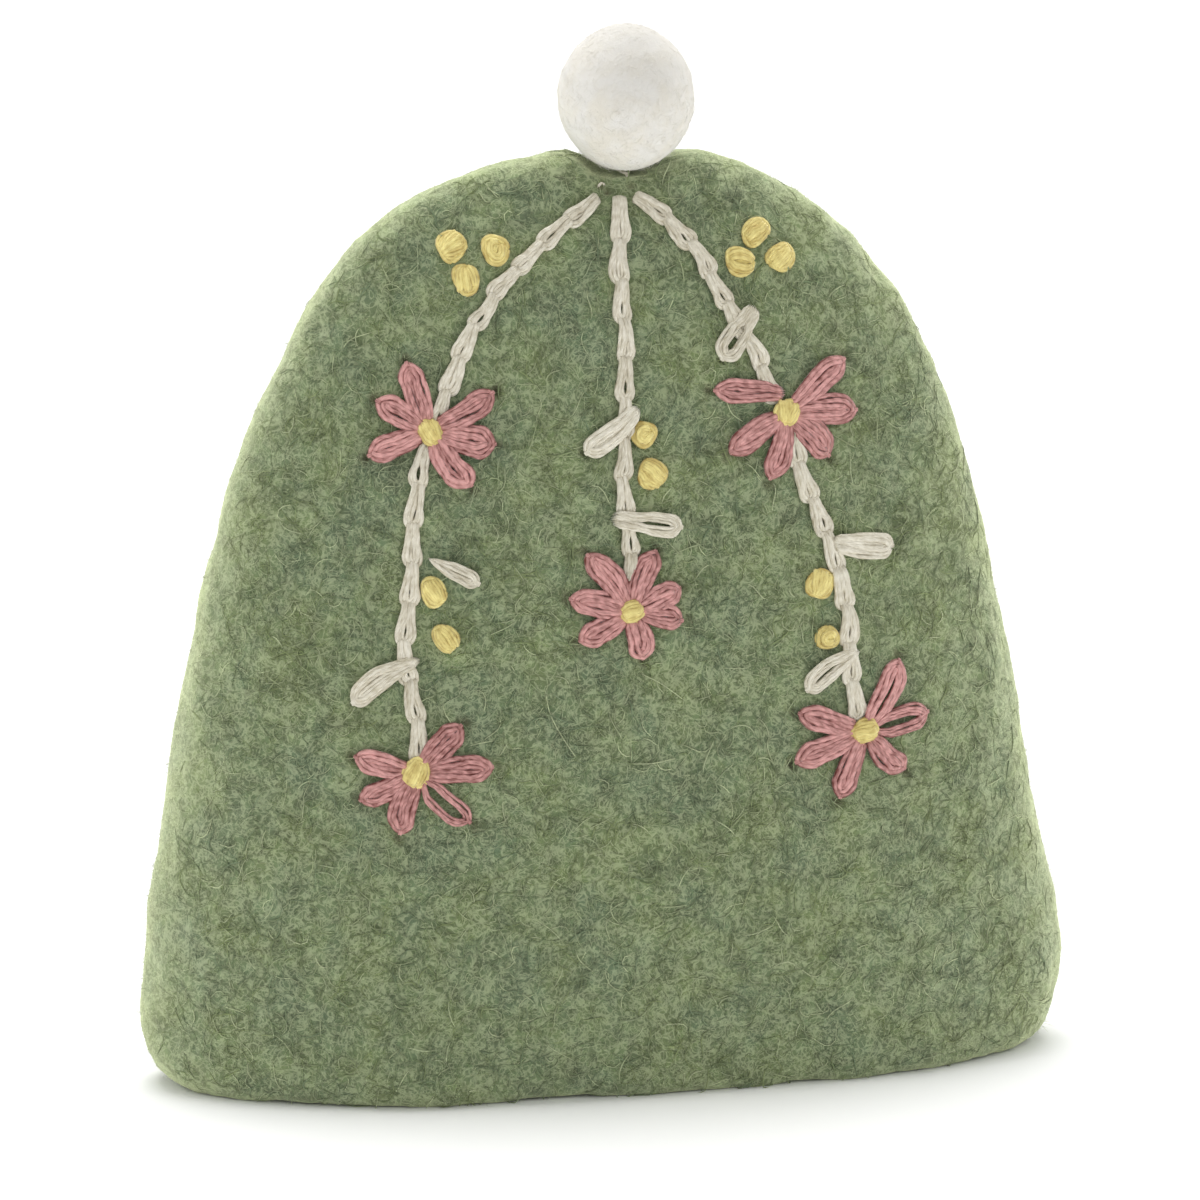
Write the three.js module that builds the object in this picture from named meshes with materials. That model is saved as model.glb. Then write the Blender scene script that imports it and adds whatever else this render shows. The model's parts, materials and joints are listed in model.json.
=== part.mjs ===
// Egg cosy: a seamless pouch of wet-felted wool that stands on its open hem, with a small felted
// wool ball sewn to its crown. The embroidery on its front is thread and isn't part of the solids.
//
// Millimetres, +Z up. The origin is on the table under the middle of the cosy. +X runs along the
// wide way, to the right as seen from the front, and the embroidered front faces -Y.

import * as THREE from 'three';

// ---------------------------------------------------------------- driving dimensions

const COVER_HEIGHT = 98.6; // table to crown
const WALL = 3.5; // thickness of the felt
const HEM_FLAT = 2.1; // width of the flat that the hem stands on, between its felted edges
const BALL_WIDTH = 14.8;
const BALL_HEIGHT = 15.9;
const BALL_SEAT = { x: 2.0, y: -2.6, height: 96.9 }; // the ball's lowest point
const BALL_LUMP = 0.18; // how far the ball is out of round
// Air between the ball and the corners of its dimple's facets, of which about half is left where
// a flat facet spans the hollow.
const CLEARANCE = 0.75;

// Level sections of the cover, from the hem up. left and right are the reaches of the two side
// folds from the middle line, and front and back those of the two faces. squareness is the power
// of the section's curve: 2 is an ellipse, and more has blunter side folds.
const SECTIONS = [
  { height: 0, left: 46.0, right: 46.9, front: 16.7, back: 16.1, squareness: 2.1 },
  { height: 1.2, left: 48.1, right: 48.7, front: 17.4, back: 16.9, squareness: 2.1 },
  { height: 4.5, left: 49.7, right: 49.9, front: 17.7, back: 17.3, squareness: 2.1 },
  { height: 9, left: 50.1, right: 50.1, front: 17.7, back: 17.5, squareness: 2.1 },
  { height: 17, left: 49.4, right: 49.5, front: 17.2, back: 16.9, squareness: 2.15 },
  { height: 28, left: 47.6, right: 47.6, front: 16.3, back: 15.9, squareness: 2.2 },
  { height: 42, left: 45.5, right: 45.0, front: 14.7, back: 14.3, squareness: 2.25 },
  { height: 56, left: 42.3, right: 42.0, front: 12.7, back: 12.4, squareness: 2.3 },
  { height: 68, left: 39.0, right: 38.8, front: 10.7, back: 10.6, squareness: 2.4 },
  { height: 77, left: 34.9, right: 35.4, front: 9.2, back: 9.1, squareness: 2.45 },
  { height: 84.5, left: 30.9, right: 30.9, front: 7.9, back: 7.8, squareness: 2.5 },
  { height: 90, left: 26.4, right: 26.0, front: 6.7, back: 6.6, squareness: 2.5 },
  { height: 94, left: 21.2, right: 20.9, front: 5.4, back: 5.3, squareness: 2.5 },
  { height: 96.8, left: 15.0, right: 15.8, front: 4.0, back: 3.9, squareness: 2.5 },
  { height: 98.2, left: 8.6, right: 9.6, front: 2.3, back: 2.2, squareness: 2.4 },
  { height: COVER_HEIGHT, left: 0, right: 0, front: 0, back: 0, squareness: 2.4 },
];

// Where hand felting left the faces uneven: the felt stands out by `out` around one place, or
// sinks where `out` is negative, and has settled back at `reach` from it.
const SWELLS = [
  { face: 'front', x: -27, height: 6, reach: 20, out: 0.9 },
  { face: 'front', x: -7, height: 0, reach: 14, out: -1.5 },
  { face: 'front', x: 14, height: 3, reach: 21, out: -1.6 },
  { face: 'front', x: -17, height: 60, reach: 17, out: 0.6 },
  { face: 'front', x: 13, height: 42, reach: 19, out: -0.7 },
  { face: 'front', x: 20, height: 80, reach: 12, out: 0.4 },
  { face: 'back', x: -12, height: 20, reach: 26, out: -1.3 },
  { face: 'back', x: 21, height: 48, reach: 22, out: 0.8 },
  { face: 'back', x: -16, height: 74, reach: 15, out: -0.4 },
];

// ---------------------------------------------------------------- fineness of the mesh

const AROUND = 52; // points round a section
const STEPS_PER_SECTION = 2;
const CAVITY_TOP_SECTION = 12.5; // the hollow closes just above this row of SECTIONS
const CAVITY_ROOF = 0.9; // rise of the hollow's roof above its last section
// How far the hollow's sections have dropped from the outer ones at the crown.
const CAVITY_DROP = 2.2;
const CAVITY_DROP_POWER = 4; // a higher power keeps that drop nearer to the crown
const BALL_SEGMENTS = 24;
const BALL_RINGS = 16;

// ---------------------------------------------------------------- shared shapes

const columnCurves = new Map(
  Object.keys(SECTIONS[0]).map((column) => [
    column,
    new THREE.SplineCurve(SECTIONS.map((row, i) => new THREE.Vector2(i, row[column]))),
  ]),
);

// The section at a row of the table, or between two rows.
function sectionAt(row) {
  const share = row / (SECTIONS.length - 1);
  const section = {};
  for (const [column, curve] of columnCurves) section[column] = curve.getPoint(share).y;
  return section;
}

// How far the felt of one face stands out at a place, from all the swells on it.
function swellAt(face, x, height) {
  let out = 0;
  for (const swell of SWELLS) {
    if (swell.face !== face) continue;
    const away = Math.hypot(x - swell.x, height - swell.height) / swell.reach;
    out += swell.out * Math.exp(-3 * away * away);
  }
  return out;
}

// One closed ring of points round a section, drawn in by `inset` and put at `height`.
function sectionRing(section, inset, height) {
  const ring = [];
  const power = 2 / section.squareness;
  for (let i = 0; i < AROUND; i += 1) {
    const angle = (2 * Math.PI * i) / AROUND;
    const along = Math.cos(angle);
    const across = Math.sin(angle);
    const face = across < 0 ? 'front' : 'back';
    const side = along < 0 ? 'left' : 'right';
    const x = Math.sign(along) * Math.abs(along) ** power * (section[side] - inset);
    const depth = Math.abs(across) ** power * (section[face] - inset);
    const swell = Math.abs(across) * swellAt(face, x, section.height);
    ring.push(new THREE.Vector3(x, Math.sign(across) * (depth + swell), height));
  }
  return ring;
}

// A closed body from a first pole, through equal rings, to a last pole. Its faces point outwards
// where the rings turn from +X to +Y and run downwards on the outside.
function loftedBody(firstPole, rings, lastPole) {
  const points = [firstPole, ...rings.flat(), lastPole];
  const last = points.length - 1;
  const at = (ring, i) => 1 + ring * AROUND + (i % AROUND);
  const faces = [];
  for (let i = 0; i < AROUND; i += 1) faces.push(0, at(0, i), at(0, i + 1));
  for (let ring = 0; ring + 1 < rings.length; ring += 1) {
    for (let i = 0; i < AROUND; i += 1) {
      faces.push(at(ring, i), at(ring + 1, i), at(ring + 1, i + 1));
      faces.push(at(ring, i), at(ring + 1, i + 1), at(ring, i + 1));
    }
  }
  for (let i = 0; i < AROUND; i += 1) {
    faces.push(at(rings.length - 1, i), last, at(rings.length - 1, i + 1));
  }
  const body = new THREE.BufferGeometry().setFromPoints(points);
  body.setIndex(faces);
  body.computeVertexNormals();
  return body;
}

// ---------------------------------------------------------------- felt cover

const ballRadius = new THREE.Vector3(BALL_WIDTH / 2, BALL_WIDTH / 2, BALL_HEIGHT / 2);
const ballCentre = new THREE.Vector3(BALL_SEAT.x, BALL_SEAT.y, BALL_SEAT.height + ballRadius.z);

// The ball's thread draws it into the crown: felt nearer to the ball than CLEARANCE is pushed
// away from the ball's centre, which leaves a shallow dimple.
function pressByBall(point) {
  const seat = ballRadius.clone().addScalar(CLEARANCE);
  const offset = point.clone().sub(ballCentre);
  const depth = offset.clone().divide(seat).length();
  if (depth < 1) point.copy(ballCentre).addScaledVector(offset, 1 / depth);
}

// Table rows, from `from` to `to`, in even steps.
function rowsBetween(from, to) {
  const steps = Math.round(Math.abs(to - from) * STEPS_PER_SECTION);
  return Array.from({ length: steps + 1 }, (_, i) => from + ((to - from) * i) / steps);
}

function outerRings() {
  return rowsBetween(SECTIONS.length - 1 - 1 / STEPS_PER_SECTION, 0).map((row) => {
    const section = sectionAt(row);
    return sectionRing(section, 0, section.height);
  });
}

// The hollow follows the outside at the wall's thickness. Its sections drop away from the outer
// ones towards the crown, so that the felt stays thick there.
function innerRings() {
  return rowsBetween(0, CAVITY_TOP_SECTION).map((row) => {
    const section = sectionAt(row);
    const inset = THREE.MathUtils.lerp(HEM_FLAT, WALL, Math.min(1, row));
    const drop = CAVITY_DROP * (section.height / COVER_HEIGHT) ** CAVITY_DROP_POWER;
    return sectionRing(section, inset, section.height - drop);
  });
}

function feltCover() {
  const crown = new THREE.Vector3(0, 0, COVER_HEIGHT);
  const outside = outerRings();
  for (const point of [crown, ...outside.flat()]) pressByBall(point);
  const inside = innerRings();
  const roof = new THREE.Vector3(0, 0, inside.at(-1)[0].z + CAVITY_ROOF);
  const felt = new THREE.MeshStandardMaterial({ color: 0x809669, roughness: 0.95, metalness: 0 });
  const cover = new THREE.Mesh(loftedBody(crown, [...outside, ...inside], roof), felt);
  cover.name = 'felt_cover';
  return cover;
}

// ---------------------------------------------------------------- felt ball

// A hand-rolled ball is never quite round: three slow waves, one along each axis.
function ballUnevenness(direction) {
  const { x, y, z } = direction;
  return (Math.sin(2.6 * x + 1) + Math.sin(3.1 * y - 0.7) + Math.sin(2.3 * z + 2)) / 3;
}

function feltBall() {
  const body = new THREE.SphereGeometry(1, BALL_SEGMENTS, BALL_RINGS);
  body.rotateX(Math.PI / 2);
  const points = body.getAttribute('position');
  const point = new THREE.Vector3();
  for (let i = 0; i < points.count; i += 1) {
    point.fromBufferAttribute(points, i);
    const inwards = BALL_LUMP * (1 - ballUnevenness(point)) * 0.5;
    point.multiply(ballRadius.clone().subScalar(inwards));
    points.setXYZ(i, point.x, point.y, point.z);
  }
  body.computeVertexNormals();
  const wool = new THREE.MeshStandardMaterial({ color: 0xe6e2d9, roughness: 0.95, metalness: 0 });
  const ball = new THREE.Mesh(body, wool);
  ball.name = 'felt_ball';
  ball.position.copy(ballCentre);
  return ball;
}

// ---------------------------------------------------------------- the cosy

const cosy = new THREE.Group();
cosy.name = 'egg_cosy';
cosy.add(feltCover(), feltBall());

export default cosy;
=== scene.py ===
"""An egg cosy of wet-felted wool with an embroidered front and a small felt ball on its crown."""

import json
import math
from functools import partial

import bpy
import numpy as np
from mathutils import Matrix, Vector, noise
from mathutils.bvhtree import BVHTree

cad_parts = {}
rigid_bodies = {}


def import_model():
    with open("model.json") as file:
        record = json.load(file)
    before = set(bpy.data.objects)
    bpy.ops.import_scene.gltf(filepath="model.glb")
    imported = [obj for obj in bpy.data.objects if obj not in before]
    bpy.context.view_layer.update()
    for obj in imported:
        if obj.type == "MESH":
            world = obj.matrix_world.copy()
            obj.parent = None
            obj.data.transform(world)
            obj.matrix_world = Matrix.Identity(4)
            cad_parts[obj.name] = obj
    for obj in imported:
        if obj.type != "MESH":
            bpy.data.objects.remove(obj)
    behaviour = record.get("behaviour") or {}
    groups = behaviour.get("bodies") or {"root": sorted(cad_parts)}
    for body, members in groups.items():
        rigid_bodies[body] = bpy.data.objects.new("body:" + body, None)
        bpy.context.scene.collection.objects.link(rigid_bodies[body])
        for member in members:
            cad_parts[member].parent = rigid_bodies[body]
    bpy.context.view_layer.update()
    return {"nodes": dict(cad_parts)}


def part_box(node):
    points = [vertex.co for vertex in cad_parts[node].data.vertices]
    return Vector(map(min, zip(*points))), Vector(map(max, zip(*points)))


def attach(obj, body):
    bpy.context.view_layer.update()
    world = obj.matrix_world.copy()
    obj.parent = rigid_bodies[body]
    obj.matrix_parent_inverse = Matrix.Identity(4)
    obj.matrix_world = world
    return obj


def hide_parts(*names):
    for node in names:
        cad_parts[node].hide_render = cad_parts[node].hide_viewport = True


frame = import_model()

bl_info = {
    "name": "Felt egg cosy",
    "version": (1, 0, 0),
    "blender": (4, 5, 0),
    "location": "3D View > Sidebar > Egg cosy",
    "description": "Makes a felted egg cosy with an embroidered front",
    "category": "Add Mesh",
}

MM = 0.001
BALL_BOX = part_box("felt_ball")

# The chain-stitched stems. Each runs down from the crown, and goes on below a flower.
STEMS = {
    "left_upper": ((-1.5, 94.5), (-6, 91.5), (-10, 88), (-14, 84), (-16.5, 79.5), (-18.5, 75), (-19.5, 72)),
    "left_lower": (
        *((-20.5, 70), (-21.5, 66.5), (-22.5, 61), (-22.5, 56)),
        *((-23.5, 51.5), (-23.5, 47.5), (-22.5, 43), (-22.5, 37.5)),
    ),
    "middle": ((0.8, 94.5), (0.5, 88), (0.5, 82), (0.5, 76), (0, 69.5), (-0.4, 64.5), (0.4, 60.5), (0.5, 54)),
    "right_upper": ((2.4, 94.5), (6, 92), (8.2, 89.5), (10.5, 85.5), (12.8, 81.5), (14.5, 78), (16.5, 73.5)),
    "right_lower": (
        *((18, 70.5), (18.7, 67), (20.5, 62.5), (22.3, 57.5)),
        *((23.3, 54), (24, 49.5), (24, 45), (24.8, 39.5)),
    ),
}

# A flower's middle, and its petals: direction in degrees from the right, anticlockwise; length;
# share of the usual width; share of the width that stays open; and how far its root is to the left
# of its line. A petal leaves out the last ones where they are usual.
FLOWERS = (
    ((-20.2, 71.2), ((107, 7.4), (30, 7.7), (-12, 6.8, 1.25), (-54, 6.8, 1.1), (201, 6.8), (149, 6.2))),
    (
        (17.7, 71.8),
        ((161, 8.1, 0.95, 0, -1.9), (37, 8.4), (-2, 7.9, 1.15), (-46, 6.7, 1.15), (-106, 7.1), (213, 7.3)),
    ),
    ((0.3, 52.0), ((127, 7.5), (65, 6.7), (22, 5.7), (-13, 5.6), (-77, 5.1), (208, 6.2), (166, 6.6))),
    ((-22.7, 36.0), ((45, 6.7), (3, 7.8), (-45, 7.6, 1.0, 0.36), (-106, 6.7), (207, 6.5), (165, 6.4))),
    (
        (25.4, 37.8),
        ((59, 8.3, 1.0, 0.14), (10, 7.6, 1.15, 0.24), (-43, 6.4), (-112, 7.3), (200, 8.0), (161, 7.4)),
    ),
)

PETAL_START = 0.6  # from the middle of a flower to a petal's root, in millimetres

# Leaves: where each leaves its stem, its tip, its width, how far its two sides stand apart, where
# the gap between them begins, and how broad the leaf starts. The last three are shares.
LEAVES = (
    ((14.7, 83.0), (10.9, 77.6), 2.8, 0.26, 0.38, 0.8),
    ((1.9, 73.0), (-4.0, 68.5), 2.6, 0.08, 0.6, 0.55),
    ((-1.6, 61.7), (5.9, 60.5), 2.5, 0.2, 0.45, 0.85),
    ((-20.9, 58.3), (-15.8, 55.5), 1.9, 0.0, 0.5, 0.1),
    ((-22.0, 47.8), (-29.0, 43.2), 2.4, 0.1, 0.4, 0.4),
    ((22.2, 57.9), (29.2, 57.0), 2.6, 0.04, 0.3, 0.65),
    ((25.2, 46.4), (19.2, 42.6), 2.4, 0.14, 0.45, 0.35),
)

# Knots: middle, width, length, how the turns lie, and which way they run in degrees.
KNOTS = (
    ((-17.2, 90.0), 3.0, 3.4, "fan", 35),
    ((-12.7, 89.6), 3.0, 3.2, "ring", 80),
    ((-15.9, 86.7), 2.9, 3.3, "loops", 95),
    ((15.2, 90.4), 2.8, 3.3, "wrap", 40),
    ((13.3, 87.5), 3.0, 3.3, "bean", -14),
    ((17.8, 87.7), 2.9, 3.3, "fork", 35),
    ((2.3, 70.2), 2.6, 3.0, "ring", 60),
    ((3.0, 66.1), 3.1, 3.3, "wrap", -30),
    ((-20.4, 54.7), 2.6, 3.4, "fork", -65),
    ((-19.3, 49.9), 2.4, 3.3, "bean", -55),
    ((20.9, 53.7), 3.0, 3.4, "fan", 70),
    ((21.6, 48.0), 2.5, 2.7, "ring", 20),
    ((-20.2, 71.1), 2.6, 3.1, "fork", -70),
    ((17.7, 71.8), 3.0, 3.2, "fan", 80),
    ((0.3, 52.0), 2.5, 2.8, "wrap", 30),
    ((-22.7, 36.0), 3.0, 3.3, "fork", 60),
    ((25.4, 37.9), 2.9, 3.3, "wrap", 20),
)

# How the turns of a knot lie inside its rim. Each turn is a band of strands that runs through points
# in shares of the knot's half length and half width; then its number of strands, and how many
# millimetres it lies above the dome.
TURNS = {
    "bean": (
        (((-0.8, 0.1), (-0.4, 0.42), (0.1, 0.46), (0.6, 0.36), (0.85, 0.2)), 3, 0.0),
        (((-0.8, -0.12), (-0.4, -0.44), (0.1, -0.5), (0.6, -0.4), (0.85, -0.1)), 3, 0.04),
    ),
    "wrap": (
        (((-0.8, 0.42), (-0.2, 0.5), (0.3, 0.45), (0.8, 0.2)), 3, 0.0),
        (((-0.8, -0.2), (-0.2, -0.5), (0.3, -0.5), (0.8, -0.4)), 3, 0.0),
        (((-0.85, 0.1), (-0.3, 0.12), (0.3, -0.12), (0.85, -0.1)), 3, 0.06),
    ),
    "ring": (
        (
            ((0.6, -0.3), (0.42, 0.36), (-0.15, 0.46), (-0.5, 0.1), (-0.4, -0.36), (0.1, -0.48), (0.5, -0.3)),
            2,
            0.05,
        ),
        (((-0.3, 0.12), (0.0, 0.04), (0.35, -0.02)), 2, -0.04),
    ),
    "loops": (
        (((-0.8, 0.56), (-0.1, 0.58), (0.4, 0.54), (0.8, 0.2)), 2, 0.02),
        (((-0.85, -0.02), (-0.1, 0.02), (0.4, 0.0), (0.75, -0.05)), 3, 0.04),
        (((-0.5, -0.6), (-0.1, -0.6), (0.4, -0.5), (0.8, -0.2)), 2, -0.02),
    ),
    "fan": (
        (((-0.7, 0.1), (-0.1, 0.4), (0.5, 0.5), (0.8, 0.42)), 3, 0.0),
        (((-0.8, 0.0), (-0.1, 0.0), (0.5, 0.02), (0.9, 0.02)), 3, 0.03),
        (((-0.7, -0.1), (-0.1, -0.42), (0.5, -0.5), (0.8, -0.4)), 3, 0.0),
    ),
    "fork": (
        (((-0.8, 0.3), (-0.2, 0.5), (0.3, 0.46), (0.8, 0.34)), 3, 0.0),
        (((-0.7, -0.5), (-0.2, -0.56), (0.3, -0.5), (0.8, -0.1)), 2, 0.0),
        (((-0.85, -0.1), (-0.2, -0.06), (0.3, 0.06), (0.7, 0.1)), 3, 0.07),
    ),
}

# A turn that lies low under the others in every knot.
UNDER_TURN = (((-0.7, 0), (0, 0), (0.7, 0)), 2, -0.2)

# The white thread that holds the ball, as it shows below it: across and up.
BALL_THREAD = (
    ((-0.8, 97.5), (-0.3, 97.2), (0.6, 96.8), (1.9, 96.3), (2.5, 96.8), (3.1, 97.5)),
    ((0.9, 97.5), (1.3, 97.0), (1.9, 96.4), (2.0, 96.0)),
    ((-1.4, 95.4), (-1.0, 95.7), (-0.6, 95.5)),
)

# Hollows where that thread goes through the felt: across, up, reach, depth and how much painted shade darkens
# them.
THREAD_HOLES = (
    (-0.3, 95.1, 0.5, 0.6, 0.9),
    (2.2, 95.7, 0.5, 0.6, 0.8),
    (-1.0, 95.6, 0.6, 0.3, 0.7),
)

# Single pale fibres that lie on the front.
STRAYS = (
    ((-9.0, 43.8), (-8.6, 41.6), (-7.4, 39.2), (-5.9, 36.9)),
    ((1.2, 45.4), (3.4, 44.2), (5.8, 42.4)),
    ((-0.6, 36.1), (2.2, 36.0), (4.9, 36.3)),
    ((20.8, 82.3), (21.2, 81.9), (21.0, 81.5)),
    ((11.2, 73.6), (11.8, 72.0), (13.2, 70.9)),
)

# Where the felt swells more than its general shape: across, up, reach and height.
SWELLS = (
    (50, 11, 7, 1.1),
    (-5.2, 97.8, 2.6, 0.6),
    (9.6, 97.6, 3.4, 0.6),
    (2, 97, 2, 0.35),
)

# The kinds of loose fibres on the cover. Each has its share of the fibres, its points, its shortest
# and longest length as shares of the usual, its rise in millimetres, its width as a share of the
# usual, how many stand up, and its lowest tint.
STROKES = (0.34, 5, 0.3, 0.7, 0.1, 1.1, 0.05, 0.0)  # these make the web
CURLS = (0.34, 7, 0.6, 1.5, 0.12, 1.5, 0.03, 0.25)  # these lie on it
NAP = (0.32, 4, 0.1, 0.28, 0.25, 0.3, 0.9, 0.85)  # this stands up as a soft haze
# The rim nap is drawn pale: a painted highlight along the outline.
RIM_NAP = (1.0, 4, 0.1, 0.3, 0.26, 0.26, 1.0, 0.9)  # this softens the outline
WOOL = (STROKES, CURLS, NAP)

FRONT_MIDDLE = 48  # the height at which the front's fuzz is parted, in millimetres

# The pieces of the cover's fuzz: name, how densely it grows by place and normal, the kinds of its
# fibres, and its share of their number. They are parted so that none has too many triangles.
FUZZ = (
    ("front_upper", lambda p, n: (n[:, 1] < -0.1) * (p[:, 2] > FRONT_MIDDLE * MM), WOOL, 1.0),
    ("front_lower", lambda p, n: (n[:, 1] < -0.1) * (p[:, 2] <= FRONT_MIDDLE * MM), WOOL, 1.0),
    ("behind", lambda p, n: n[:, 1] >= -0.1, WOOL, 0.62),
    ("edges", lambda p, n: np.clip(1.6 - 2.4 * np.abs(n[:, 1]), 0, 1), (RIM_NAP,), 0.8),
)

# Soft square lights: name, place and power. Most of the light comes from above and behind.
LIGHTS = (
    ("left_light", (-1.0, 0.35, 0.5), 4.0),
    ("right_light", (1.0, 0.35, 0.5), 4.0),
    ("top_light", (0.0, 0.3, 1.0), 10.5),
    ("front_light", (0.0, -1.1, 0.55), 2.0),
)
LIGHT_WIDTH = 0.9
LIT_PLACE = Vector((0, 0, 0.05))
VIEWED_PLACE = Vector((-0.0002, 0, 0.0504))
SENSOR_WIDTH = 36


def linear(colour):
    """Gives an sRGB hex colour as linear red, green, blue and an alpha of 1."""
    parts = [int(colour[i : i + 2], 16) / 255 for i in (0, 2, 4)]
    return (*(c / 12.92 if c <= 0.04045 else ((c + 0.055) / 1.055) ** 2.4 for c in parts), 1.0)


def add_node(tree, kind, inputs=None, give=0, **settings):
    """Adds a shader node, and returns its output called give.

    An input that is another node's output is linked, and any other is set.
    """
    node = tree.nodes.new("ShaderNode" + kind)
    for name, value in settings.items():
        setattr(node, name, value)
    for name, value in (inputs or {}).items():
        if isinstance(value, bpy.types.NodeSocket):
            tree.links.new(value, node.inputs[name])
        else:
            node.inputs[name].default_value = value
    return node.outputs[give] if node.outputs else None


def new_material(name):
    """Makes an empty material, and returns it with add_node for its tree."""
    material = bpy.data.materials.new(name)
    material.use_nodes = True
    material.node_tree.nodes.clear()
    return material, partial(add_node, material.node_tree)


def millimetres(add):
    """A place on a piece, in millimetres."""
    return add("Mapping", {"Vector": add("TexCoord", give="Object"), "Scale": (1000, 1000, 1000)})


def blotches(add, mm):
    """Soft blotches 3 to 9 mm across, where the carded wool was bluer or yellower."""
    return add("TexNoise", {"Vector": mm, "Scale": 0.15, "Detail": 4.0, "Roughness": 0.62})


def tufts(add, mm, thin, dense):
    """Tufts a millimetre or two across, from thin to dense."""
    tuft = add("TexNoise", {"Vector": mm, "Scale": 0.5, "Detail": 3.0, "Roughness": 0.6, "Distortion": 0.8})
    return add("MapRange", {"Value": tuft, "From Min": 0.3, "From Max": 0.7, "To Min": thin, "To Max": dense})


def curly_fibres(add, mm, scale, detail, bend, reach):
    """Curly fibres, which are the lines along which a noise has its middle value.

    Wool is about 0.03 mm thick, and they are drawn about 0.15 mm wide so that they show.
    """
    value = add("TexNoise", {"Vector": mm, "Scale": scale, "Detail": detail, "Distortion": bend})
    away = add("Math", {0: value, 1: 0.5}, operation="SUBTRACT")
    away = add("Math", {0: away}, operation="ABSOLUTE")
    ends = {"From Min": 0.0, "From Max": reach, "To Min": 1.0, "To Max": 0.0}
    return add("MapRange", {"Value": away, **ends}, interpolation_type="SMOOTHSTEP")


def wet_felt():
    """Wet-felted wool, marled from several greens.

    It gives the eye a matt web of fine curly fibres over soft blotches of bluish and yellowish
    green, with tiny pits between the fibres darkened by painted shade, and a pale bloom where it turns away.
    """
    felt = bpy.context.scene.cosy_felt
    material, add = new_material("wet_felted_wool_marled_green")
    mm = millimetres(add)
    wide = add("MapRange", {"Value": blotches(add, mm), "From Min": 0.34, "From Max": 0.66})
    ground = add("Mix", {0: wide, 6: (*felt.blue_green, 1), 7: (*felt.yellow_green, 1)}, 2, data_type="RGBA")
    ground = add("VectorMath", {0: ground, "Scale": tufts(add, mm, 0.6, 1.4)}, operation="SCALE")
    web = 0.0
    for scale, bend, offset in ((0.5, 1.6, 0), (0.7, 1.2, 31), (0.4, 2.4, 67), (0.6, 1.8, 103)):
        moved = add("Mapping", {"Vector": mm, "Location": (offset, offset * 2, offset / 2)})
        web = add("Math", {0: web, 1: curly_fibres(add, moved, scale, 1.0, bend, 0.045)}, operation="MAXIMUM")
    pale = add("Math", {0: web, 1: felt.web}, operation="MULTIPLY")
    colour = add("Mix", {0: pale, 6: ground, 7: (*felt.pale_fibre, 1)}, 2, data_type="RGBA")
    # Pits about 0.2 mm across and a millimetre apart: dents in the bump, drawn darker with painted shade.
    cells = add("TexVoronoi", {"Vector": mm, "Scale": 1.1, "Randomness": 1.0}, "Distance")
    ends = {"From Min": 0.05, "From Max": 0.22, "To Min": 1.0, "To Max": 0.0}
    pit = add("MapRange", {"Value": cells, **ends}, interpolation_type="SMOOTHSTEP")
    dark = add("Math", {0: pit, 1: 0.6}, operation="MULTIPLY")
    colour = add("Mix", {0: dark, 6: colour, 7: (*felt.pit_shade_green, 1)}, 2, data_type="RGBA")
    # Painted shade: the felt is drawn darker and browner where it is dented by the thread that goes into it.
    dent_shade_amount = add("Attribute", give="Fac", attribute_name="dent_shade_amount")
    colour = add("Mix", {0: dent_shade_amount, 6: colour, 7: (*felt.dent_shade, 1)}, 2, data_type="RGBA")
    grain = add("TexNoise", {"Vector": mm, "Scale": 3.0, "Detail": 3.0, "Roughness": 0.7})
    height = add("Math", {0: web, 1: 0.6, 2: grain}, operation="MULTIPLY_ADD")
    height = add("Math", {0: height, 1: pit}, operation="SUBTRACT")
    bump = add("Bump", {"Height": height, "Strength": 0.8, "Distance": 0.09 * MM})
    matt = {"Base Color": colour, "Normal": bump, "Roughness": 0.95, "Specular IOR Level": 0.15}
    bloom = add("BsdfSheen", {"Color": (*felt.bloom, 1), "Roughness": felt.bloom_spread})
    add("OutputMaterial", {"Surface": add("AddShader", {0: add("BsdfPrincipled", matt), 1: bloom})})
    return material


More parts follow.
